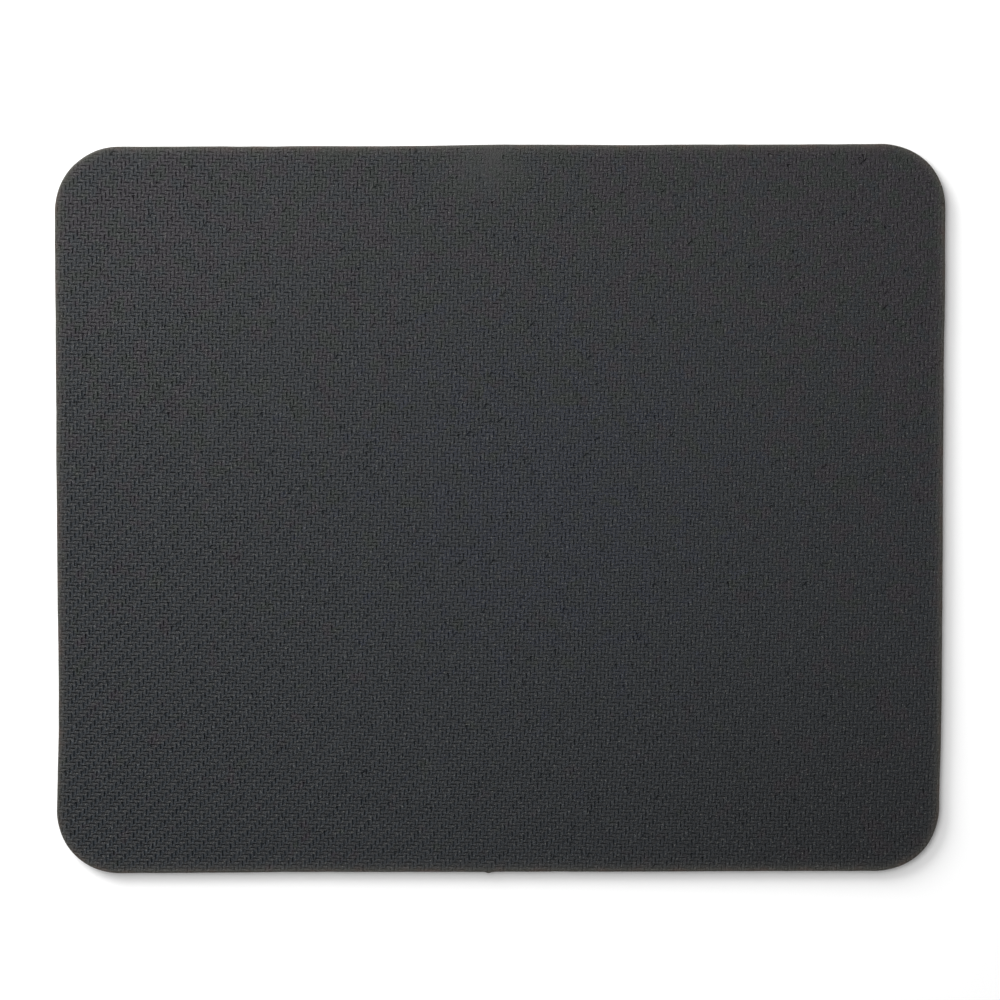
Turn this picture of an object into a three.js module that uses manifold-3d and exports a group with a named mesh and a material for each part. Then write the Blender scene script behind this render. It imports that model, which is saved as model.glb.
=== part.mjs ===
// A basic desk mouse pad: knitted cloth bonded to a slab of sponge rubber by a hot-melt film,
// die cut to a rectangle with round corners. It lies as it was photographed, with the
// embossed grip face of the rubber up and the cloth face down on the table.
//
// Millimetres. +X runs along the long side, +Y along the short side and +Z up. The origin is
// in the middle of the cloth face, on the surface that the pad lies on.

import * as THREE from "three";
import { mergeVertices, toCreasedNormals } from "three/addons/utils/BufferGeometryUtils.js";
import Module from "manifold-3d";

const wasm = await Module();
wasm.setup();

// Outline that the cutting die gives to every layer
const padLength = 220;
const padWidth = 180;
const cornerRadius = 16;

// Layers, from the cloth face up to the grip face
const clothThickness = 0.4;
const filmThickness = 0.1;
const rubberThickness = 2.5;

// The rubber's upper edge, pinched by the die, springs back as a soft shoulder
const shoulderWidth = 0.8;
const shoulderDrop = 0.7;

// How far a cutter runs past what it cuts
const cutOverrun = 2;

// Smoothness of the round stretches
const cornerSegments = 24;
const shoulderSegments = 6;
const creaseAngle = Math.PI / 5;

// Heights that follow from the layers
const filmBottom = clothThickness;
const rubberBottom = filmBottom + filmThickness;

const clothMaterial = new THREE.MeshStandardMaterial({
  color: 0x1c1c1f,
  roughness: 0.95,
  metalness: 0,
});

const filmMaterial = new THREE.MeshStandardMaterial({
  color: 0x8c8a80,
  roughness: 0.45,
  metalness: 0,
});

const rubberMaterial = new THREE.MeshStandardMaterial({
  color: 0x3a3b3d,
  roughness: 0.8,
  metalness: 0,
});

// The die's outline: four quarter circles joined by straight sides, anticlockwise from the
// corner at +X and -Y.
function padOutline() {
  const alongX = padLength / 2 - cornerRadius;
  const alongY = padWidth / 2 - cornerRadius;
  const corners = [
    [alongX, -alongY],
    [alongX, alongY],
    [-alongX, alongY],
    [-alongX, -alongY],
  ];
  const quarter = Math.PI / 2;
  const outline = new THREE.Shape();
  corners.forEach(([x, y], index) => {
    const start = (index - 1) * quarter;
    outline.absarc(x, y, cornerRadius, start, start + quarter, false);
  });
  outline.closePath();
  return outline;
}

// A flat layer of the laminate, cut square through.
function flatLayer(thickness) {
  return new THREE.ExtrudeGeometry(padOutline(), {
    depth: thickness,
    curveSegments: cornerSegments,
    bevelEnabled: false,
  });
}

// A closed geometry as a solid that can be cut.
function solidFrom(geometry) {
  const bare = geometry.clone();
  bare.deleteAttribute("normal");
  bare.deleteAttribute("uv");
  const merged = mergeVertices(bare);
  return new wasm.Manifold(
    new wasm.Mesh({
      numProp: 3,
      vertProperties: merged.getAttribute("position").array,
      triVerts: new Uint32Array(merged.index.array),
    }),
  );
}

function geometryFrom(solid) {
  const mesh = solid.getMesh();
  const geometry = new THREE.BufferGeometry();
  geometry.setAttribute("position", new THREE.BufferAttribute(mesh.vertProperties, 3));
  geometry.setIndex(new THREE.BufferAttribute(mesh.triVerts, 1));
  return toCreasedNormals(geometry, creaseAngle);
}

// The rubber slab. An extrusion rounds both of its rims alike, so it is made with a spare
// rounded rim below the slab, and that rim is cut off flat where the film lies.
function rubberSlab() {
  const rounded = new THREE.ExtrudeGeometry(padOutline(), {
    depth: rubberThickness - shoulderDrop,
    curveSegments: cornerSegments,
    bevelEnabled: true,
    bevelSize: shoulderWidth,
    bevelOffset: -shoulderWidth,
    bevelThickness: shoulderDrop,
    bevelSegments: shoulderSegments,
  });
  const cutDepth = shoulderDrop + cutOverrun;
  const spareRim = new THREE.BoxGeometry(
    padLength + 2 * cutOverrun,
    padWidth + 2 * cutOverrun,
    cutDepth,
  );
  spareRim.translate(0, 0, -cutDepth / 2);
  return geometryFrom(solidFrom(rounded).subtract(solidFrom(spareRim)));
}

function addPiece(pad, name, geometry, material, bottom) {
  const piece = new THREE.Mesh(geometry, material);
  piece.name = name;
  piece.position.z = bottom;
  pad.add(piece);
}

const mousePad = new THREE.Group();
mousePad.name = "mouse_pad";

addPiece(mousePad, "cloth_cover", flatLayer(clothThickness), clothMaterial, 0);
addPiece(mousePad, "adhesive_film", flatLayer(filmThickness), filmMaterial, filmBottom);
addPiece(mousePad, "sponge_rubber_base", rubberSlab(), rubberMaterial, rubberBottom);

export default mousePad;
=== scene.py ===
import math

import bmesh
import bpy
from mathutils import Matrix, Vector, noise


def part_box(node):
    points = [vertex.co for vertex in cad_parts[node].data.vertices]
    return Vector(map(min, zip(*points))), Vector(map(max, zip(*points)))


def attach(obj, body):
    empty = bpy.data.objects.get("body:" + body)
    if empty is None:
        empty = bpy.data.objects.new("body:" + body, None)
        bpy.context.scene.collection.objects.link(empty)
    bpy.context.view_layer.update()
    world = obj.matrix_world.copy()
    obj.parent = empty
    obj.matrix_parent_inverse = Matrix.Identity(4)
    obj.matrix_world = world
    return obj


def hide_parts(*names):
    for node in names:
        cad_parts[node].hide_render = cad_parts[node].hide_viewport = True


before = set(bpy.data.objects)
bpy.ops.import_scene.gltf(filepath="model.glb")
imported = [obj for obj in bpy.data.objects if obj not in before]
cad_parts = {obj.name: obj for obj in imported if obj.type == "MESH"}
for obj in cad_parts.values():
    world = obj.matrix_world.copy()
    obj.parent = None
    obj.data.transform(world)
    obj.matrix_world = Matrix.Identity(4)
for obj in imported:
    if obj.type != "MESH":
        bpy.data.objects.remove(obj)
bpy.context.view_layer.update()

# A desk mouse pad lying with the embossed grip face of its sponge rubber up, as photographed.
# Meshes are made in millimetres and brought to metres at the end.

bl_info = {
    "name": "Mouse pad",
    "version": (1, 0, 0),
    "blender": (4, 5, 0),
    "location": "3D View > Sidebar > Mouse pad",
    "description": "Builds an embossed sponge rubber mouse pad and the studio it lies in",
    "category": "Object",
}

MM = 0.001

RUBBER_NODE = "sponge_rubber_base"
FILM_NODE = "adhesive_film"
CLOTH_NODE = "cloth_cover"

# Blender takes the time of day for its noise unless it is given a seed
NOISE_SEED = 160

# How the soft sheet strays as a whole once it is cut, in millimetres. It sways, it shakes more
# finely, its near side slips to the left, and it is a little out of square.
SWAY_WIDTH = 23
SWAY_SEED = 4.0
SWAY = 0.16
SHAKES_PER_SWAY = 4.5
SHAKE = 0.05
SLIP = 0.52
SLIP_START = -50
SLIP_RUN = 28
SHIFT = 0.06
GROWTH_ACROSS = 0.0006
GROWTH_ALONG = 0.0045
SKEW = 0.0033

# Where the cut strays by itself: its middle, how wide it reaches and which way, in millimetres.
# The four corners are a little fuller than quarter circles, and a nub stands on the near edge.
DIE_STRAYS = (
    (105, 85, 9, 0.2, 0.2),
    (-105, 85, 9, -0.2, -0.08),
    (-105, -85, 9, -0.2, -0.2),
    (105, -85, 9, 0.24, -0.24),
    (5, 90, 14, 0, 0.22),
    (48, 90, 18, 0, 0.08),
    (-45, -90, 30, 0, 0.14),
    (-110, -42, 24, 0.14, 0),
    (110, 62, 16, 0.2, 0),
    (-2.2, -90, 0.6, 0, -0.3),
)

# The embossing's grid, in threads: the twill comes back after four, the grid's points lie a
# quarter of a thread beside the slots' middles, and a lip reaches the turn given each way
REPEAT = 4
QUARTER = 0.25
NEARLY = 0.1
LIP_TURN = 0.7
SPARE_COLUMNS = 12
SPARE_ROWS = 8

# How hard the mould presses, as a share: in the middle, what each thread to the right and each
# one towards the far side adds, and how it varies in patches and from slot to slot. The level
# slots' share changes across and along the pad too.
PRESS = 1.08
PRESS_ACROSS = -0.0028
PRESS_ALONG = -0.0026
PRESS_PATCH_THREADS = 7
PRESS_PATCHES = 0.14
PRESS_SINGLE = 0.35
LEAST_PRESS = 0.2
LEVEL_ACROSS = -0.0007
LEVEL_ALONG = 0.001

# Painted light and shade beside a slot, kept in the bloom attribute: its span, its middle, and the
# threads until it turns over
PAINTED_SLOT_LIGHT = 0.22
PAINTED_SLOT_LIGHT_MIDDLE = 0.25
PAINTED_SLOT_LIGHT_THREADS = 125

# How a slot's points stray, in threads: finely from point to point, and slowly over many slots
WAVER = 0.12
WAVERS_PER_THREAD = 1.7
WANDER = 0.3
WANDER_THREADS = 5

# How fine the land's unevenness is, and how the two points of a slot's bottom are drawn apart,
# each way as a multiple of their first place, with a stray of its own in each slot
GRAINS_PER_THREAD = 2.3
GRAIN_SPAN = 2
BOTTOM_STRETCH = 2
BOTTOM_STRAY = 0.2

# What keeps the random draws of depth, length and place apart
DEPTH_DRAW = 5
LENGTH_DRAW = 7
PLACE_DRAW = 9

# How dark the painted shade at the bottoms of the upright and the level slots is, from 0 to 1
UPRIGHT_SLOT_SHADE = 0.7
LEVEL_SLOT_SHADE = 0.85

# The cut of the sheet, in millimetres, and the steps of its round stretches
CORNER_CUTS = 8
CORNER_MARGIN = 2
SLIVER = 0.06
PINHOLE_SIDES = 12
CUT_TOLERANCE = 1e-5
SHOULDER_STEPS = 3
WALL_STEPS = 6
WALL_MARGIN = 0.1
LAYER_SIDES = 760

# Beside the cut the relief is shallower, and the skin paler: partly bare sponge, partly painted light
# for the bright rounded rim
RIM_SHARE = 0.55
RIM_RUN = 2.5
RIM_PALE = 0.8

# The rubbed spot at the far edge and the smudge that it trails, and the lower right corner with
# painted shade: a place and its widths across and along the pad, in millimetres. Rubbing also
# flattens the relief and thins the painted shade in its slots.
RUBBED_SPOT = (-0.7, 87.4, 2.2, 1.2)
RUBBED_SPOT_SHARE = 0.75
SMUDGE = (-3.5, 84.5, 9, 6)
SMUDGE_SHARE = 0.65
RUBBING_FLATTENS = 0.85
RUBBING_THINS_SLOT_SHADE = 0.5
SHADED_CORNER = (100, -90, 80, 45)
CORNER_SHADE_SHARE = 0.35

# Patches of the charcoal: the noise channel that picks them, how they gain across the pad and
# outward from its bluest place, each per metre, the level where they start, and their colour
RUBBER_PATCHES = (
    ("Red", (0.5, 1.3, 0), 1.6, 0.725, "rubber_violet"),
    ("Blue", (0, 1.0, 0), 0.0, 0.63, "rubber_green"),
    ("Green", (0, 0, 0), -4.0, 0.41, "rubber_blue"),
)
BLUEST_PLACE = (0.012, 0.003, 0.003)
PATCH_BLUR = 0.04

# Where a finish, or the painted shade in the slots, starts and is full, in its noise or attribute, and
# how far it goes
BLOOM_FADE = (0.34, 0.66)
BLOOM_MOST = 2.0
SLOT_SHADE_FADE = (0.4, 0.85)
SLOT_SHADE_MOST = 0.5
RUST_FADE = (0.5, 0.65)

# The octaves of the skin's grain, and how strongly its noise lets the cut sponge through
GRAIN_DETAIL = 3
BARE_GAIN = 2.0

# The knit's loops: how steeply the courses bend in a column, and the wave of a yarn's leg
COURSE_BEND = 1.6
HALF_WALE = 0.5
LEG_MIDDLE = 0.5
LEG_WAVE = 0.25

# Sockets of a Mix node that mixes colours
MIX_SHARE = 0
MIX_FIRST = 6
MIX_SECOND = 7
MIX_RESULT = 2

# The studio, in metres, watts and degrees: each lamp has a name, a place, a width and a power
FLOOR_WIDTH = 6
SKY_STRENGTH = 0.3
SOFT_BOXES = (
    ("side_soft_box", (-0.52, 0.52, 0.4), 0.53, 9.3),
    ("overhead_soft_box", (-0.293, 0.169, 1.142), 0.62, 5.7),
    ("far_soft_box", (-0.1, 0.6, 1.0), 0.62, 2.3),
)
CAMERA_DISTANCE = 0.9
CAMERA_TILT = 3.3
CAMERA_AIM = (0, 0.0027, 0.003)
SENSOR_WIDTH = 36
FRAME_PIXELS = 1000
MM_PER_PIXEL = 0.2483


def linear(code):
    """An sRGB hex colour as linear red, green and blue."""
    parts = [int(code[i : i + 2], 16) / 255 for i in (1, 3, 5)]
    return tuple(p / 12.92 if p <= 0.04045 else ((p + 0.055) / 1.055) ** 2.4 for p in parts)


def length(name, description, default_mm):
    """A length property whose default is given in millimetres."""
    return bpy.props.FloatProperty(
        name=name, description=description, default=default_mm * MM, unit="LENGTH", precision=5
    )


def share(name, description, default, most=1.0):
    """A property for a share or a number of threads."""
    return bpy.props.FloatProperty(
        name=name, description=description, default=default, min=0.0, max=most
    )


def tone(name, description, code):
    """A colour property whose default is given as sRGB hex."""
    return bpy.props.FloatVectorProperty(
        name=name, description=description, default=linear(code), subtype="COLOR", min=0, max=1
    )


class PadSizes(bpy.types.PropertyGroup):
    """Sizes of the pad that the frame doesn't give."""

    corner_radius: length("Corner radius", "Radius of the die cut corners", 16)
    thread_across: length("Thread pitch across", "Embossing's column spacing", 0.974)
    thread_along: length("Thread pitch along", "Embossing's row spacing", 0.857)
    lean: bpy.props.FloatProperty(
        name="Column lean",
        description="How far the embossing's columns lean to the right",
        default=math.radians(1.5),
        subtype="ANGLE",
    )
    row_drop: bpy.props.FloatProperty(
        name="Row drop",
        description="How far the embossing's rows sink to the right",
        default=math.radians(0.5),
        subtype="ANGLE",
    )
    slot_depth: length("Slot depth", "Depth of the embossed slots", 0.143)
    crest_height: length("Crest height", "Swell of the land right of an upright slot", 0.012)
    grain_height: length("Grain height", "How uneven the land between the slots is", 0.021)
    slot_length: share("Slot length", "Length of a slot, in threads", 1.85, 2.0)
    level_share: share("Level slots", "Depth of the level slots, as a share of the upright", 0.78)
    upright_bottom: share("Upright bottom", "Length of an upright slot's bottom, in threads", 1.35, 2.0)
    level_bottom: share("Level bottom", "Length of a level slot's bottom, in threads", 1.1, 2.0)
    upright_tilt: share("Upright tilt", "How far an upright slot leans to the left, per length", 0.04)
    level_tilt: share("Level tilt", "How far a level slot sinks to the right, per length", 0.1)
    level_arch: share("Level arch", "How far a level slot's ends sink, per square of length", 0.12)
    steep_wall: share("Steep wall", "From a slot's middle to its upper or left rim, in threads", 0.24)
    easy_wall: share("Easy wall", "From a slot's middle to its lower or right rim, in threads", 0.4)
    slot_stray: share("Slot stray", "How far a slot may lie from its place, in threads", 0.07)
    shoulder_width: length("Shoulder width", "Rounded rim of the grip face, seen from above", 0.35)
    shoulder_drop: length("Shoulder drop", "Height of the rounded rim", 0.4)
    wall_pinch: length("Wall pinch", "How far the cut wall draws in at mid height", 0.05)
    film_recess: length("Film recess", "How far the film stands back from the cut", 0.05)


class PadPatterns(bpy.types.PropertyGroup):
    """Real widths of the patterns in the materials."""

    cloud_width: length("Cloud width", "Patches where the carbon black took unevenly", 5)
    grain_width: length("Grain width", "Fine unevenness of the moulded skin", 0.3)
    grain_depth: length("Grain depth", "Height of that unevenness", 0.13)
    speck_spacing: length("Speck spacing", "From one dust speck to the next", 3.6)
    speck_width: length("Speck width", "Width of a dust speck", 0.45)
    # Spacing and width of the painted highlights that stand for shiny points
    glint_spacing: length("Glint spacing", "From one shiny point of the skin to the next", 1.4)
    glint_width: length("Glint width", "Width of a shiny point", 0.36)
    pore_width: length("Pore width", "Open cells of the cut sponge", 0.3)
    pore_depth: length("Pore depth", "Depth of the open cells", 0.08)
    # The edge width sets how fast the paler skin beside the cut, partly painted light, gives way to the
    # usual skin
    edge_width: length("Edge width", "How fast the rubbed skin beside the cut recovers", 0.8)
    wale_pitch: length("Wale pitch", "From one column of the knit to the next", 0.55)
    course_pitch: length("Course pitch", "From one row of the knit to the next", 0.42)
    stitch_depth: length("Stitch depth", "Relief of the knit's loops", 0.12)
    film_ripple: length("Film ripple", "Width of the ripples in the film", 1.5)


class PadTones(bpy.types.PropertyGroup):
    """Colours of the pad."""

    rubber: tone("Rubber skin", "Cool charcoal of the embossed skin", "#15191d")
    rubber_blue: tone("Blue patches", "Bluer charcoal, most in the middle", "#151921")
    rubber_violet: tone("Violet patches", "Warmer charcoal, most at the far side", "#1b181d")
    rubber_green: tone("Green patches", "Greenish charcoal in small patches", "#151a18")
    # Painted shade: the unlit black that is mixed in at the bottom of the slots
    slot: tone("Slots", "Unlit black at the bottom of the slots", "#090a0b")
    speck: tone("Dust specks", "Pale dust caught in the skin", "#484844")
    # Painted highlights: lighter colour that stands for shiny points of the skin
    painted_glint: tone("Glints", "Shiny points of the skin", "#424341")
    scuff: tone("Scuff", "Grey bloom of the rubbed patch", "#2f322f")
    sponge: tone("Cut sponge", "Warm grey of the cut sponge wall", "#48463f")
    sponge_rust: tone("Rusty sponge", "Where the cut sponge has a warmer grey", "#50453d")
    cloth: tone("Cloth", "Black yarn of the knitted face", "#1c1c1f")
    cloth_gap: tone("Cloth gaps", "Shade between the loops of the knit", "#08080a")
    film: tone("Film", "Milky grey of the hot-melt film", "#6e6a60")
    film_thin: tone("Thin film", "Film where it has soaked into the cloth", "#4a4843")
    floor: tone("Floor", "White table", "#f6f6f6")


# The die's outline, with half sizes in millimetres


class Outline:
    """A rectangle with round corners: the shape that the cutting die leaves."""

    def __init__(self, half_x, half_y, radius):
        self.half_x = half_x
        self.half_y = half_y
        self.radius = radius

    def inset(self, width):
        return Outline(self.half_x - width, self.half_y - width, self.radius - width)

    def reach(self, x, y):
        """How far a point lies outside, negative inside, and the way out there."""
        beyond_x = abs(x) - (self.half_x - self.radius)
        beyond_y = abs(y) - (self.half_y - self.radius)
        side_x = math.copysign(1, x)
        side_y = math.copysign(1, y)
        if beyond_x > 0 and beyond_y > 0:
            far = math.hypot(beyond_x, beyond_y)
            return far - self.radius, (side_x * beyond_x / far, side_y * beyond_y / far)
        if beyond_x > beyond_y:
            return beyond_x - self.radius, (side_x, 0.0)
        return beyond_y - self.radius, (0.0, side_y)

    def point(self, share_round):
        """The point at a share of the way round, anticlockwise from the middle of the right side."""
        straight_x = 2 * (self.half_x - self.radius)
        straight_y = 2 * (self.half_y - self.radius)
        arc = self.radius * math.pi / 2
        left = (share_round % 1) * 2 * (straight_x + straight_y + 2 * arc)
        runs = [
            (straight_y / 2, (1, 1), 0),
            (straight_x, (-1, 1), 1),
            (straight_y, (-1, -1), 2),
            (straight_x, (1, -1), 3),
            (straight_y / 2, (1, 1), 4),
        ]
        at = Vector((self.half_x, 0))
        for straight, (side_x, side_y), quarter in runs:
            start = quarter * math.pi / 2
            ahead = Vector((-math.sin(start), math.cos(start)))
            if left <= straight or quarter == 4:
                return at + ahead * left
            left -= straight
            centre = Vector((side_x * straight_x / 2, side_y * straight_y / 2))
            if left <= arc:
                angle = start + left / self.radius
                return centre + self.radius * Vector((math.cos(angle), math.sin(angle)))
            left -= arc
            at = centre + self.radius * ahead
        return at


def smooth_step(value):
    """Rises gently from 0 to 1 while the value does, and stays there."""
    value = min(max(value, 0.0), 1.0)
    return value * value * (3 - 2 * value)


def die_drift(x, y):
    """How far the soft sheet strays from its drawn place after the cut, in millimetres."""
    along = Vector((x / SWAY_WIDTH, y / SWAY_WIDTH, SWAY_SEED))
    sway = noise.noise_vector(along) * SWAY
    shake = noise.noise_vector(along * SHAKES_PER_SWAY) * SHAKE
    slip = SLIP * smooth_step((SLIP_START - y) / SLIP_RUN)
    dx = sway.x + shake.x - slip + GROWTH_ACROSS * x - SHIFT
    dy = sway.y + shake.y + SKEW * x + GROWTH_ALONG * y
    for place_x, place_y, width, out_x, out_y in DIE_STRAYS:
        pull = math.exp(-((x - place_x) ** 2 + (y - place_y) ** 2) / width**2)
        dx += out_x * pull
        dy += out_y * pull
    return dx, dy


def apply_drift(bm):
    """Moves a drawn mesh to where the cut leaves it."""
    for vert in bm.verts:
        dx, dy = die_drift(vert.co.x, vert.co.y)
        vert.co.x += dx
        vert.co.y += dy


# The embossing, in threads: x counts columns and y counts rows


def slot_beside(x, y):
    """The slot whose rim holds a grid point: whether it is upright, and its middle."""
    column = round(x)
    row = math.floor(y) + 0.5
    turn = (column - row) % REPEAT
    if turn in (0.5, REPEAT - 0.5):
        return True, Vector((column, row + (0.5 if turn == 0.5 else -0.5), 0))
    return False, Vector((column + (0.5 if turn == 1.5 else -0.5), row, 0))


def is_lip(edge):
    """True for a grid edge on the left rim of an upright slot or the upper rim of a level one."""
    middle = (edge.verts[0].co + edge.verts[1].co) / 2
    if abs(middle.x % 1 - (1 - QUARTER)) < NEARLY:
        turn = (math.ceil(middle.x) - middle.y) % REPEAT
    elif abs(middle.y % 1 - (1 - QUARTER)) < NEARLY:
        turn = (middle.x - math.floor(middle.y) + 1.5) % REPEAT
    else:
        return False
    return turn < LIP_TURN or turn > REPEAT - LIP_TURN


def crosses_slot(edge):
    """True for the two grid edges that cross each slot near its ends."""
    middle = (edge.verts[0].co + edge.verts[1].co) / 2
    if abs(middle.x - round(middle.x)) < NEARLY:
        return (round(middle.x) - round(middle.y)) % REPEAT == 0
    row = math.floor(middle.y) + 0.5
    if abs(middle.y - row) < NEARLY:
        return (math.floor(middle.x) + 0.5 - row) % REPEAT == REPEAT / 2
    return False


def slot_strength(middle):
    """How deep a slot is, as a share: the mould doesn't press evenly."""
    press = PRESS + PRESS_ACROSS * middle.x + PRESS_ALONG * middle.y
    patchy = noise.noise(middle / PRESS_PATCH_THREADS)
    single = noise.cell(2 * middle + Vector((0, 0, DEPTH_DRAW)))
    return max(press + PRESS_PATCHES * patchy + PRESS_SINGLE * single, LEAST_PRESS)


def painted_light_beside(upright, middle):
    """How much lighter or darker the skin round a slot is painted, as a share: painted light and shade.

    Towards the lower left the skin is painted lighter beside the upright slots and darker beside the
    level ones, and towards the upper right it is the other way round."""
    turned = PAINTED_SLOT_LIGHT_MIDDLE - (middle.x + middle.y) / PAINTED_SLOT_LIGHT_THREADS
    return PAINTED_SLOT_LIGHT * (turned if upright else -turned)


def slot_shift(middle, reach):
    """How far a slot lies from its drawn place, in threads."""
    drawn = noise.cell_vector(2 * middle + Vector((0, 0, PLACE_DRAW)))
    shift = drawn * 2 - Vector((1, 1, 1))
    return Vector((shift.x, shift.y, 0)) * reach


def emboss_grid(sizes, half_x, half_y):
    """A flat sheet of slots that is larger than the pad: each has a rim and a sunk bottom line."""
    across = sizes.thread_across / MM
    along = sizes.thread_along / MM
    columns = 2 * math.ceil(half_x / across) + SPARE_COLUMNS
    rows = 2 * math.ceil(half_y / along) + SPARE_ROWS
    bm = bmesh.new()
    # Layers for the cut edge, the rubbing, the painted shade in the slots, and the painted light and
    # shade round them
    for layer in ("cut_edge", "rubbed", "slot_shade", "bloom"):
        bm.verts.layers.float.new(layer)
    grown = Matrix.Diagonal((columns / 2, rows / 2, 1, 1))
    place = Matrix.Translation((QUARTER, QUARTER, 0)) @ grown
    bmesh.ops.create_grid(bm, x_segments=2 * columns, y_segments=2 * rows, size=1, matrix=place)
    for edge in bm.edges:
        edge.smooth = not is_lip(edge)
    cuts = [edge for edge in bm.edges if crosses_slot(edge)]
    made = bmesh.ops.subdivide_edges(bm, edges=cuts, cuts=1, use_single_edge=True)
    bottoms = {elem for elem in made["geom_inner"] if isinstance(elem, bmesh.types.BMVert)}
    rims = [vert for vert in bm.verts if vert not in bottoms]

    slot_shade = bm.verts.layers.float["slot_shade"]
    bloom = bm.verts.layers.float["bloom"]
    half_length = sizes.slot_length / 2
    walls = {
        True: (-sizes.steep_wall, sizes.easy_wall),
        False: (-sizes.easy_wall, sizes.steep_wall),
    }
    grain = sizes.grain_height / MM
    crest = sizes.crest_height / MM
    for vert in rims:
        upright, middle = slot_beside(vert.co.x, vert.co.y)
        off = vert.co - middle
        wide, long = (off.x, off.y) if upright else (off.y, off.x)
        wide = walls[upright][wide > 0]
        if abs(long) > 0.5:
            long = math.copysign(half_length, long)
        if upright:
            off = (wide - sizes.upright_tilt * long, long, 0)
        else:
            off = (long, wide - sizes.level_tilt * long - sizes.level_arch * long**2, 0)
        stray = noise.noise_vector(vert.co * WAVERS_PER_THREAD) * WAVER
        stray += noise.noise_vector(vert.co / WANDER_THREADS) * WANDER
        vert.co = middle + Vector(off) + Vector((stray.x, stray.y, 0))
        vert.co += slot_shift(middle, sizes.slot_stray)
        vert.co.z = grain * noise.noise(vert.co * GRAINS_PER_THREAD) * GRAIN_SPAN
        # Painted light and shade round the slot, kept in the bloom attribute
        vert[bloom] = painted_light_beside(upright, middle)
        if upright and wide > 0:
            vert.co.z += crest * slot_strength(middle)
    depth = sizes.slot_depth / MM
    for vert in bottoms:
        x, y = vert.co.x, vert.co.y
        upright = abs(x - round(x)) < NEARLY
        middle = Vector((x, round(y), 0)) if upright else Vector((math.floor(x) + 0.5, y, 0))
        stray = noise.noise_vector(vert.co / WANDER_THREADS) * WANDER
        off = vert.co - middle
        drawn = noise.cell(2 * middle + Vector((0, 0, LENGTH_DRAW)))
        stretch = BOTTOM_STRETCH + BOTTOM_STRAY * drawn
        if upright:
            end = off.y * stretch * sizes.upright_bottom
            off = Vector((-sizes.upright_tilt * end, end, 0))
        else:
            end = off.x * stretch * sizes.level_bottom
            off = Vector((end, -sizes.level_tilt * end - sizes.level_arch * end**2, 0))
        vert.co = middle + off + Vector((stray.x, stray.y, 0)) + slot_shift(middle, sizes.slot_stray)
        # The slot bottoms carry the painted shade
        vert[slot_shade] = UPRIGHT_SLOT_SHADE if upright else LEVEL_SLOT_SHADE
        vert[bloom] = painted_light_beside(upright, middle)
        level = sizes.level_share + LEVEL_ACROSS * middle.x + LEVEL_ALONG * middle.y
        pressed = 1 if upright else level
        vert.co.z = -depth * slot_strength(middle) * pressed
        for edge in vert.link_edges:
            edge.smooth = False
    lean = math.tan(sizes.lean)
    row_drop = math.tan(sizes.row_drop)
    for vert in bm.verts:
        x, y = vert.co.x, vert.co.y
        vert.co.x = x * across + y * along * lean
        vert.co.y = y * along - x * across * row_drop
    return bm


def trim_round(bm, outline):
    """Cuts a flat sheet to the outline by straight cuts that touch it."""
    centre = Vector((outline.half_x - outline.radius, outline.half_y - outline.radius, 0))
    for quarter in range(4):
        angle = quarter * math.pi / 2
        outward = Vector((math.cos(angle), math.sin(angle), 0))
        at = outward * (centre.dot(Vector((abs(outward.x), abs(outward.y), 0))) + outline.radius)
        bmesh.ops.bisect_plane(
            bm,
            geom=bm.verts[:] + bm.edges[:] + bm.faces[:],
            dist=CUT_TOLERANCE,
            plane_co=at,
            plane_no=outward,
            clear_outer=True,
        )
    for side_x, side_y, start in ((1, 1, 0), (-1, 1, 1), (-1, -1, 2), (1, -1, 3)):
        corner = Vector((side_x * centre.x, side_y * centre.y, 0))
        faces = []
        for face in bm.faces:
            out = face.calc_center_median() - corner
            if out.x * side_x > -CORNER_MARGIN and out.y * side_y > -CORNER_MARGIN:
                faces.append(face)
        edges = dict.fromkeys(edge for face in faces for edge in face.edges)
        verts = dict.fromkeys(vert for face in faces for vert in face.verts)
        geom = list(verts) + list(edges) + faces
        for step in range(1, CORNER_CUTS):
            angle = (start + step / CORNER_CUTS) * math.pi / 2
            outward = Vector((math.cos(angle), math.sin(angle), 0))
            cut = bmesh.ops.bisect_plane(
                bm,
                geom=geom,
                dist=CUT_TOLERANCE,
                plane_co=corner + outward * outline.radius,
                plane_no=outward,
                clear_outer=True,
            )
            geom = cut["geom"]


def mend_rim(bm):
    """Leaves one whole sheet with one rim, without the slivers that the straight cuts made."""
    short = [edge for edge in bm.edges if edge.is_boundary and edge.calc_length() < SLIVER]
    bmesh.ops.collapse(bm, edges=short, uvs=False)
    start = min(bm.verts, key=lambda vert: vert.co.length)
    sheet = {start}
    waiting = [start]
    while waiting:
        for edge in waiting.pop().link_edges:
            for vert in edge.verts:
                if vert not in sheet:
                    sheet.add(vert)
                    waiting.append(vert)
    islets = [vert for vert in bm.verts if vert not in sheet or not vert.link_faces]
    bmesh.ops.delete(bm, geom=islets, context="VERTS")
    rim = [edge for edge in bm.edges if edge.is_boundary]
    bmesh.ops.holes_fill(bm, edges=rim, sides=PINHOLE_SIDES)


def next_ring(bm, ring, outline, offset, height):
    """Extrudes a ring of edges to an offset from the outline and to a height."""
    made = bmesh.ops.extrude_edge_only(bm, edges=ring)["geom"]
    for vert in made:
        if isinstance(vert, bmesh.types.BMVert):
            away, out = outline.reach(vert.co.x, vert.co.y)
            vert.co.x += out[0] * (offset - away)
            vert.co.y += out[1] * (offset - away)
            vert.co.z = min(vert.co.z, height)
    return [edge for edge in made if isinstance(edge, bmesh.types.BMEdge)]


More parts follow.
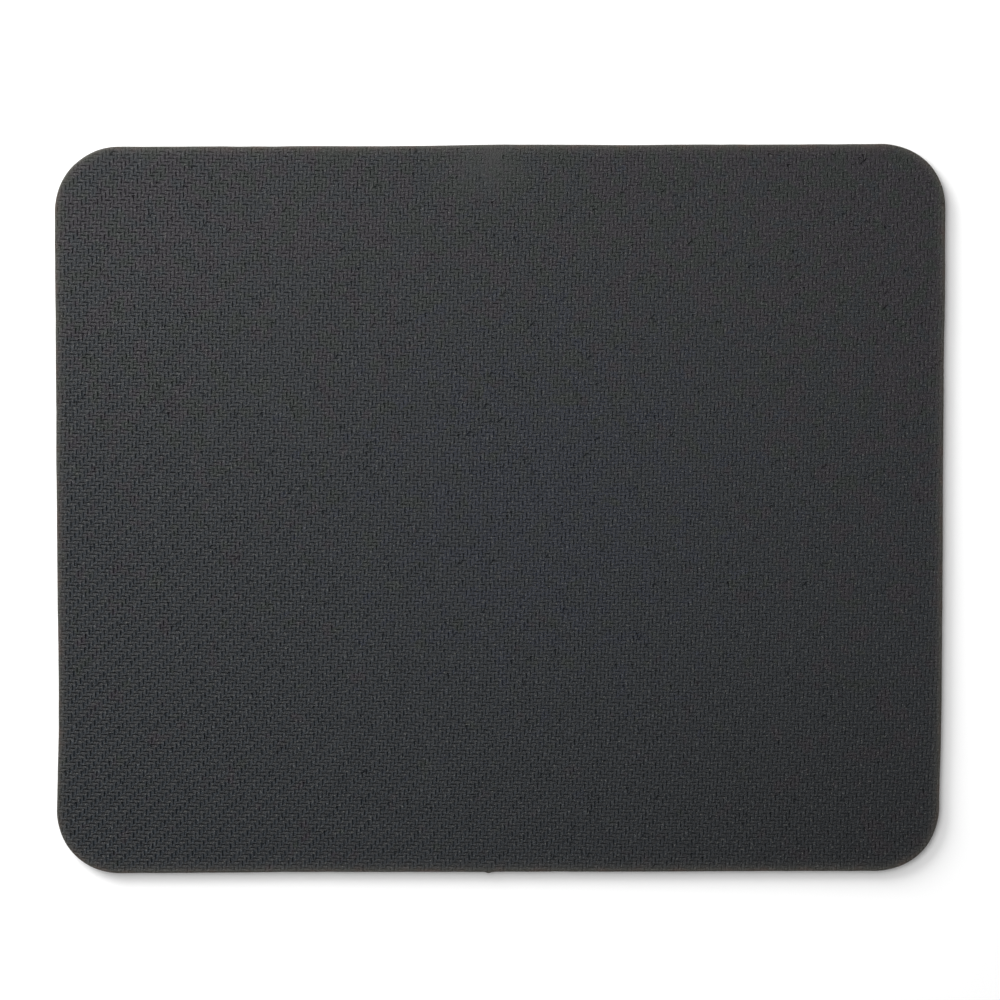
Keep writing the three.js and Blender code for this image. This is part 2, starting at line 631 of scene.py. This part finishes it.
def finish_piece(bm, name, node, material, body="root"):
    """Makes the object that stands for a CAD node, in metres, in its place."""
    bmesh.ops.recalc_face_normals(bm, faces=bm.faces[:])
    bmesh.ops.transform(bm, matrix=Matrix.Scale(MM, 4), verts=bm.verts[:])
    mesh = bpy.data.meshes.new(name)
    bm.to_mesh(mesh)
    bm.free()
    piece = bpy.data.objects.new(name, mesh)
    bpy.context.scene.collection.objects.link(piece)
    mesh.materials.append(material)
    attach(piece, body)
    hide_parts(node)
    return piece


def pad_outline(sizes):
    """The die's outline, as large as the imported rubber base."""
    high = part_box(RUBBER_NODE)[1]
    return Outline(high.x / MM, high.y / MM, sizes.corner_radius / MM)


def near(place, x, y, across, along):
    """Falls off from 1 at a place to 0, by its widths across and along the pad."""
    return math.exp(-(((place.x - x) / across) ** 2) - ((place.y - y) / along) ** 2)


def scuff(place):
    """How rubbed a place is, from 0 to 1, by the spot at the far edge and its weaker smudge."""
    spot = RUBBED_SPOT_SHARE * near(place, *RUBBED_SPOT)
    return min(spot + SMUDGE_SHARE * near(place, *SMUDGE), 1)


def rubber_mesh(sizes, patterns):
    """The sponge slab: an embossed sheet cut to the outline, with its rim and wall drawn down."""
    low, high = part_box(RUBBER_NODE)
    outline = pad_outline(sizes)
    top = high.z / MM
    width = sizes.shoulder_width / MM
    drop = sizes.shoulder_drop / MM
    bm = emboss_grid(sizes, outline.half_x, outline.half_y)
    slot_shade = bm.verts.layers.float["slot_shade"]
    flat = outline.inset(width)
    trim_round(bm, flat)
    mend_rim(bm)
    for vert in bm.verts:
        if vert.is_boundary:
            away, out = flat.reach(vert.co.x, vert.co.y)
            vert.co.x -= out[0] * away
            vert.co.y -= out[1] * away
    for vert in bm.verts:
        away = flat.reach(vert.co.x, vert.co.y)[0]
        inner = RIM_SHARE + (1 - RIM_SHARE) * smooth_step(-away / RIM_RUN)
        vert.co.z = top + vert.co.z * inner * (1 - RUBBING_FLATTENS * scuff(vert.co))
        # Where rubbed, the painted shade in the slots is thinner as well
        vert[slot_shade] *= 1 - RUBBING_THINS_SLOT_SHADE * scuff(vert.co)

    ring = [edge for edge in bm.edges if edge.is_boundary]
    for step in range(1, SHOULDER_STEPS + 1):
        angle = step / SHOULDER_STEPS * math.pi / 2
        offset = width * (math.sin(angle) - 1)
        ring = next_ring(bm, ring, outline, offset, top - drop * (1 - math.cos(angle)))
    low_z = low.z / MM
    high_z = top - drop
    for step in range(1, WALL_STEPS + 1):
        part = step / WALL_STEPS
        pinch = -sizes.wall_pinch / MM * math.sin(part * math.pi)
        ring = next_ring(bm, ring, outline, pinch, high_z + (low_z - high_z) * part)
    for edge in ring:
        edge.smooth = False
    bmesh.ops.contextual_create(bm, geom=ring)
    for face in bm.faces:
        face.smooth = True
    cut_edge = bm.verts.layers.float["cut_edge"]
    rubbed = bm.verts.layers.float["rubbed"]
    bloom = bm.verts.layers.float["bloom"]
    reach = patterns.edge_width / MM
    for vert in bm.verts:
        away = outline.reach(vert.co.x, vert.co.y)[0]
        # Paler skin towards the cut: partly bare sponge, partly painted light on the rounded rim
        vert[cut_edge] = RIM_PALE * math.exp(min(away, 0) / reach)
        vert[rubbed] = scuff(vert.co)
        # Painted shade darkens the skin towards the lower right corner
        vert[bloom] -= CORNER_SHADE_SHARE * near(vert.co, *SHADED_CORNER)
        if vert.co.z < high_z + WALL_MARGIN:
            vert[cut_edge] = 1
            vert[slot_shade] = 0
    apply_drift(bm)
    return bm


def layer_mesh(outline, low_z, high_z):
    """A flat layer of the laminate, cut square through."""
    bm = bmesh.new()
    bmesh.ops.create_circle(bm, cap_ends=True, segments=LAYER_SIDES, radius=1)
    for index, vert in enumerate(bm.verts):
        at = outline.point(index / LAYER_SIDES)
        vert.co = (at.x, at.y, low_z)
    grown = bmesh.ops.extrude_face_region(bm, geom=bm.faces[:])["geom"]
    raised = [vert for vert in grown if isinstance(vert, bmesh.types.BMVert)]
    bmesh.ops.translate(bm, vec=(0, 0, high_z - low_z), verts=raised)
    apply_drift(bm)
    return bm


# Materials


def add_node(tree, kind, settings=None, inputs=None):
    """Adds a node with its settings, and its inputs set or linked."""
    node = tree.nodes.new(kind)
    for name, value in (settings or {}).items():
        setattr(node, name, value)
    for socket, value in (inputs or {}).items():
        if isinstance(value, bpy.types.NodeSocket):
            tree.links.new(value, node.inputs[socket])
        else:
            node.inputs[socket].default_value = value
    return node


def soft_sky(tree, strength):
    """A white light tent that is lit evenly."""
    tree.nodes.clear()
    light = add_node(
        tree, "ShaderNodeBackground", inputs={"Color": (1, 1, 1, 1), "Strength": strength}
    )
    add_node(tree, "ShaderNodeOutputWorld", inputs={"Surface": light.outputs[0]})


def new_material(name):
    """A material with a bare Principled shader, its node tree and that shader."""
    material = bpy.data.materials.new(name)
    material.use_nodes = True
    tree = material.node_tree
    tree.nodes.clear()
    shader = add_node(tree, "ShaderNodeBsdfPrincipled")
    add_node(tree, "ShaderNodeOutputMaterial", inputs={"Surface": shader.outputs[0]})
    return material, tree, shader


def embossed_rubber(tones, patterns):
    """Sponge rubber moulded on a plate: a dense, faintly waxy skin, and open cells where cut."""
    material, tree, shader = new_material("embossed_sponge_rubber")
    place = add_node(tree, "ShaderNodeTexCoord").outputs["Object"]
    cut_edge = add_node(tree, "ShaderNodeAttribute", {"attribute_name": "cut_edge"})
    rubbed = add_node(tree, "ShaderNodeAttribute", {"attribute_name": "rubbed"})
    slot_shade = add_node(tree, "ShaderNodeAttribute", {"attribute_name": "slot_shade"})
    # Painted light and shade round the slots and in the lower right corner, kept in the bloom attribute
    beside = add_node(tree, "ShaderNodeAttribute", {"attribute_name": "bloom"})

    # Carbon black and oil aren't mixed in evenly: the middle of the pad is bluer, its far side
    # more violet, and small greenish patches lie between
    clouds = add_node(
        tree, "ShaderNodeTexNoise", inputs={"Vector": place, "Scale": 1 / patterns.cloud_width}
    )
    chance = add_node(tree, "ShaderNodeSeparateColor", inputs={0: clouds.outputs["Color"]})
    from_middle = add_node(
        tree,
        "ShaderNodeVectorMath",
        {"operation": "DISTANCE"},
        {0: place, 1: BLUEST_PLACE},
    ).outputs["Value"]
    skin = (*tones.rubber, 1)
    for channel, gain, outward, level, colour in RUBBER_PATCHES:
        along = add_node(
            tree, "ShaderNodeVectorMath", {"operation": "DOT_PRODUCT"}, {0: place, 1: gain}
        )
        spread = add_node(
            tree,
            "ShaderNodeMath",
            {"operation": "MULTIPLY_ADD"},
            {0: from_middle, 1: outward, 2: along.outputs["Value"]},
        )
        patch = add_node(
            tree, "ShaderNodeMath", inputs={0: spread.outputs[0], 1: chance.outputs[channel]}
        )
        edge = add_node(
            tree,
            "ShaderNodeMapRange",
            inputs={
                "Value": patch.outputs[0],
                "From Min": level - PATCH_BLUR,
                "From Max": level + PATCH_BLUR,
            },
        )
        mixed = add_node(
            tree,
            "ShaderNodeMix",
            {"data_type": "RGBA"},
            {MIX_SHARE: edge.outputs[0], MIX_FIRST: skin, MIX_SECOND: (*getattr(tones, colour), 1)},
        )
        skin = mixed.outputs[MIX_RESULT]

    # Bloom lies unevenly in the fine grain of the skin; round the slots the bloom attribute scales it
    # as painted light and shade
    grain = add_node(
        tree,
        "ShaderNodeTexNoise",
        inputs={"Vector": place, "Scale": 1 / patterns.grain_width, "Detail": GRAIN_DETAIL},
    )
    bloom = add_node(
        tree,
        "ShaderNodeMapRange",
        inputs={
            "Value": grain.outputs[0],
            "From Min": BLOOM_FADE[0],
            "From Max": BLOOM_FADE[1],
            "To Max": BLOOM_MOST,
        },
    )
    bloom_and_painted_light = add_node(
        tree,
        "ShaderNodeMath",
        {"operation": "MULTIPLY_ADD"},
        {0: bloom.outputs[0], 1: beside.outputs["Fac"], 2: bloom.outputs[0]},
    )
    bloomed_and_painted_light = add_node(
        tree,
        "ShaderNodeMix",
        {"data_type": "RGBA", "blend_type": "MULTIPLY"},
        {MIX_SHARE: 1.0, MIX_FIRST: skin, MIX_SECOND: bloom_and_painted_light.outputs[0]},
    )

    # Little light gets down the slots
    sunk = add_node(
        tree,
        "ShaderNodeMapRange",
        inputs={
            "Value": slot_shade.outputs["Fac"],
            "From Min": SLOT_SHADE_FADE[0],
            "From Max": SLOT_SHADE_FADE[1],
            "To Max": SLOT_SHADE_MOST,
        },
    )
    worked = add_node(
        tree,
        "ShaderNodeMix",
        {"data_type": "RGBA"},
        {
            MIX_SHARE: sunk.outputs[0],
            MIX_FIRST: bloomed_and_painted_light.outputs[MIX_RESULT],
            MIX_SECOND: (*tones.slot, 1),
        },
    )

    # Painted highlights for small shiny points and, further apart, dust specks sit at random on the
    # skin
    dotted = worked.outputs[MIX_RESULT]
    for spacing, width, colour in (
        (patterns.glint_spacing, patterns.glint_width, tones.painted_glint),
        (patterns.speck_spacing, patterns.speck_width, tones.speck),
    ):
        dots = add_node(
            tree,
            "ShaderNodeTexVoronoi",
            {"voronoi_dimensions": "2D"},
            {"Vector": place, "Scale": 1 / spacing},
        )
        dot = add_node(
            tree,
            "ShaderNodeMapRange",
            inputs={
                "Value": dots.outputs["Distance"],
                "From Min": width / 2 / spacing,
                "From Max": 0.0,
            },
        )
        dotted = add_node(
            tree,
            "ShaderNodeMix",
            {"data_type": "RGBA"},
            {MIX_SHARE: dot.outputs[0], MIX_FIRST: dotted, MIX_SECOND: (*colour, 1)},
        ).outputs[MIX_RESULT]

    # Rubbing leaves a grey bloom, and towards the cut the sponge's grey shows, partly as painted light
    # for the bright rounded rim; the grain breaks both up
    scuff_share = add_node(
        tree,
        "ShaderNodeMath",
        {"operation": "MULTIPLY"},
        {0: rubbed.outputs["Fac"], 1: grain.outputs[0]},
    )
    scuffed = add_node(
        tree,
        "ShaderNodeMix",
        {"data_type": "RGBA"},
        {MIX_SHARE: scuff_share.outputs[0], MIX_FIRST: dotted, MIX_SECOND: (*tones.scuff, 1)},
    )
    broken_up = add_node(
        tree,
        "ShaderNodeMath",
        {"operation": "MULTIPLY"},
        {0: grain.outputs[0], 1: BARE_GAIN},
    )
    bare_share = add_node(
        tree,
        "ShaderNodeMath",
        {"operation": "MULTIPLY", "use_clamp": True},
        {0: cut_edge.outputs["Fac"], 1: broken_up.outputs[0]},
    )
    rust = add_node(
        tree,
        "ShaderNodeMapRange",
        inputs={
            "Value": chance.outputs["Green"],
            "From Min": RUST_FADE[0],
            "From Max": RUST_FADE[1],
        },
    )
    sponge = add_node(
        tree,
        "ShaderNodeMix",
        {"data_type": "RGBA"},
        {
            MIX_SHARE: rust.outputs[0],
            MIX_FIRST: (*tones.sponge, 1),
            MIX_SECOND: (*tones.sponge_rust, 1),
        },
    )
    bare = add_node(
        tree,
        "ShaderNodeMix",
        {"data_type": "RGBA"},
        {
            MIX_SHARE: bare_share.outputs[0],
            MIX_FIRST: scuffed.outputs[MIX_RESULT],
            MIX_SECOND: sponge.outputs[MIX_RESULT],
        },
    )
    tree.links.new(bare.outputs[MIX_RESULT], shader.inputs["Base Color"])

    uneven = add_node(
        tree,
        "ShaderNodeBump",
        inputs={"Height": grain.outputs[0], "Distance": patterns.grain_depth, "Strength": 1.0},
    )
    pores = add_node(
        tree, "ShaderNodeTexVoronoi", inputs={"Vector": place, "Scale": 1 / patterns.pore_width}
    )
    open_cells = add_node(
        tree,
        "ShaderNodeBump",
        inputs={
            "Height": pores.outputs["Distance"],
            "Distance": patterns.pore_depth,
            "Strength": cut_edge.outputs["Fac"],
            "Normal": uneven.outputs[0],
        },
    )
    tree.links.new(open_cells.outputs[0], shader.inputs["Normal"])
    shader.inputs["Roughness"].default_value = 0.45
    shader.inputs["Specular IOR Level"].default_value = 0.28
    return material


def knitted_polyester(tones, patterns):
    """Warp-knitted polyester, dyed black: matt, with a soft sheen over rows of fine loops."""
    material, tree, shader = new_material("knitted_polyester")
    place = add_node(tree, "ShaderNodeTexCoord").outputs["Object"]
    apart = add_node(tree, "ShaderNodeSeparateXYZ", inputs={0: place}).outputs

    # Each column of loops is a row of Vs: the courses bend towards the middle of the column
    wales = add_node(
        tree, "ShaderNodeMath", {"operation": "DIVIDE"}, {0: apart["X"], 1: patterns.wale_pitch}
    )
    fold = add_node(
        tree, "ShaderNodeMath", {"operation": "PINGPONG"}, {0: wales.outputs[0], 1: HALF_WALE}
    )
    courses = add_node(
        tree,
        "ShaderNodeMath",
        {"operation": "DIVIDE"},
        {0: apart["Y"], 1: patterns.course_pitch},
    )
    bent = add_node(
        tree,
        "ShaderNodeMath",
        {"operation": "MULTIPLY_ADD"},
        {0: fold.outputs[0], 1: COURSE_BEND, 2: courses.outputs[0]},
    )
    turns = add_node(
        tree, "ShaderNodeMath", {"operation": "MULTIPLY"}, {0: bent.outputs[0], 1: math.tau}
    )
    wave = add_node(tree, "ShaderNodeMath", {"operation": "SINE"}, {0: turns.outputs[0]})
    leg = add_node(
        tree,
        "ShaderNodeMath",
        {"operation": "MULTIPLY_ADD"},
        {0: wave.outputs[0], 1: LEG_WAVE, 2: LEG_MIDDLE},
    )
    arch = add_node(
        tree, "ShaderNodeMath", {"operation": "MULTIPLY"}, {0: fold.outputs[0], 1: math.tau}
    )
    ridge = add_node(tree, "ShaderNodeMath", {"operation": "SINE"}, {0: arch.outputs[0]})
    loops = add_node(
        tree,
        "ShaderNodeMath",
        {"operation": "MULTIPLY"},
        {0: leg.outputs[0], 1: ridge.outputs[0]},
    )
    yarn = add_node(
        tree,
        "ShaderNodeMix",
        {"data_type": "RGBA"},
        {
            MIX_SHARE: loops.outputs[0],
            MIX_FIRST: (*tones.cloth_gap, 1),
            MIX_SECOND: (*tones.cloth, 1),
        },
    )
    tree.links.new(yarn.outputs[MIX_RESULT], shader.inputs["Base Color"])
    relief = add_node(
        tree,
        "ShaderNodeBump",
        inputs={"Height": loops.outputs[0], "Distance": patterns.stitch_depth, "Strength": 1.0},
    )
    tree.links.new(relief.outputs[0], shader.inputs["Normal"])
    shader.inputs["Roughness"].default_value = 0.85
    shader.inputs["Specular IOR Level"].default_value = 0.25
    shader.inputs["Sheen Weight"].default_value = 0.25
    shader.inputs["Sheen Roughness"].default_value = 0.4
    return material


def hot_melt_film(tones, patterns):
    """Hot-melt film, rolled in hot: a milky line that thins where it has soaked into the cloth."""
    material, tree, shader = new_material("hot_melt_film")
    place = add_node(tree, "ShaderNodeTexCoord").outputs["Object"]
    ripple = add_node(
        tree, "ShaderNodeTexNoise", inputs={"Vector": place, "Scale": 1 / patterns.film_ripple}
    )
    milk = add_node(
        tree,
        "ShaderNodeMix",
        {"data_type": "RGBA"},
        {
            MIX_SHARE: ripple.outputs[0],
            MIX_FIRST: (*tones.film_thin, 1),
            MIX_SECOND: (*tones.film, 1),
        },
    )
    tree.links.new(milk.outputs[MIX_RESULT], shader.inputs["Base Color"])
    shader.inputs["Roughness"].default_value = 0.4
    return material


def matt_white(tones):
    """Painted table top: white and without gloss."""
    material, _, shader = new_material("matt_white_table")
    shader.inputs["Base Color"].default_value = (*tones.floor, 1)
    shader.inputs["Roughness"].default_value = 0.9
    return material


class PAD_OT_rubber_base(bpy.types.Operator):
    """Makes the sponge rubber base with its embossed grip face"""

    bl_idname = "mouse_pad.rubber_base"
    bl_label = "Rubber base"

    def execute(self, context):
        material = embossed_rubber(context.scene.pad_tones, context.scene.pad_patterns)
        bm = rubber_mesh(context.scene.pad_sizes, context.scene.pad_patterns)
        base = finish_piece(bm, "embossed_rubber_base", RUBBER_NODE, material)
        return {"FINISHED"}


class PAD_OT_film(bpy.types.Operator):
    """Makes the hot-melt film between cloth and rubber"""

    bl_idname = "mouse_pad.film"
    bl_label = "Adhesive film"

    def execute(self, context):
        low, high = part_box(FILM_NODE)
        outline = pad_outline(context.scene.pad_sizes)
        recess = context.scene.pad_sizes.film_recess / MM
        bm = layer_mesh(outline.inset(recess), low.z / MM, high.z / MM)
        material = hot_melt_film(context.scene.pad_tones, context.scene.pad_patterns)
        film = finish_piece(bm, "bonding_film", FILM_NODE, material)
        return {"FINISHED"}


class PAD_OT_cloth(bpy.types.Operator):
    """Makes the knitted cloth face"""

    bl_idname = "mouse_pad.cloth"
    bl_label = "Cloth face"

    def execute(self, context):
        low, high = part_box(CLOTH_NODE)
        outline = pad_outline(context.scene.pad_sizes)
        bm = layer_mesh(outline, low.z / MM, high.z / MM)
        material = knitted_polyester(context.scene.pad_tones, context.scene.pad_patterns)
        cloth = finish_piece(bm, "knitted_cloth_face", CLOTH_NODE, material)
        return {"FINISHED"}


def add_soft_box(name, place, size, watts):
    """A square lamp that faces the pad."""
    lamp = bpy.data.lights.new(name, "AREA")
    lamp.shape = "SQUARE"
    lamp.size = size
    lamp.energy = watts
    box = bpy.data.objects.new(name, lamp)
    box.location = place
    box.rotation_euler = (-box.location).to_track_quat("-Z", "Y").to_euler()
    bpy.context.scene.collection.objects.link(box)


class PAD_OT_studio(bpy.types.Operator):
    """Makes the white table, the soft light and the camera"""

    bl_idname = "mouse_pad.studio"
    bl_label = "Studio"

    def execute(self, context):
        scene = context.scene
        scene.view_settings.view_transform = "Standard"

        bpy.ops.mesh.primitive_plane_add(size=FLOOR_WIDTH)
        floor = context.object
        floor.name = "white_table"
        floor.data.materials.append(matt_white(scene.pad_tones))

        world = bpy.data.worlds.new("studio_white")
        world.use_nodes = True
        soft_sky(world.node_tree, SKY_STRENGTH)
        scene.world = world

        for name, place, size, watts in SOFT_BOXES:
            add_soft_box(name, place, size, watts)

        lens = bpy.data.cameras.new("copy_stand_camera")
        lens.sensor_width = SENSOR_WIDTH
        frame_width = MM_PER_PIXEL * FRAME_PIXELS * MM
        lens.lens = SENSOR_WIDTH * CAMERA_DISTANCE / frame_width
        camera = bpy.data.objects.new("copy_stand_camera", lens)
        tilt = math.radians(CAMERA_TILT)
        outward = Vector((0, math.sin(tilt), math.cos(tilt)))
        camera.location = Vector(CAMERA_AIM) + CAMERA_DISTANCE * outward
        camera.rotation_euler = (-tilt, 0, 0)
        scene.collection.objects.link(camera)
        scene.camera = camera
        return {"FINISHED"}


class PAD_PT_panel(bpy.types.Panel):
    """Lists the steps that build the pad"""

    bl_idname = "PAD_PT_panel"
    bl_label = "Mouse pad"
    bl_space_type = "VIEW_3D"
    bl_region_type = "UI"
    bl_category = "Mouse pad"

    def draw(self, context):
        for step in STEPS:
            self.layout.operator(step.bl_idname)
        scene = context.scene
        for group in (scene.pad_sizes, scene.pad_patterns, scene.pad_tones):
            for name in group.__annotations__:
                self.layout.prop(group, name)


STEPS = (PAD_OT_studio, PAD_OT_rubber_base, PAD_OT_film, PAD_OT_cloth)
CLASSES = (PadSizes, PadPatterns, PadTones, *STEPS, PAD_PT_panel)


def register():
    noise.seed_set(NOISE_SEED)
    for cls in CLASSES:
        bpy.utils.register_class(cls)
    bpy.types.Scene.pad_sizes = bpy.props.PointerProperty(type=PadSizes)
    bpy.types.Scene.pad_patterns = bpy.props.PointerProperty(type=PadPatterns)
    bpy.types.Scene.pad_tones = bpy.props.PointerProperty(type=PadTones)


def unregister():
    del bpy.types.Scene.pad_tones
    del bpy.types.Scene.pad_patterns
    del bpy.types.Scene.pad_sizes
    for cls in reversed(CLASSES):
        bpy.utils.unregister_class(cls)


def main():
    register()
    bpy.ops.mouse_pad.studio()
    bpy.ops.mouse_pad.rubber_base()
    bpy.ops.mouse_pad.film()
    bpy.ops.mouse_pad.cloth()


if __name__ == "__main__":
    main()
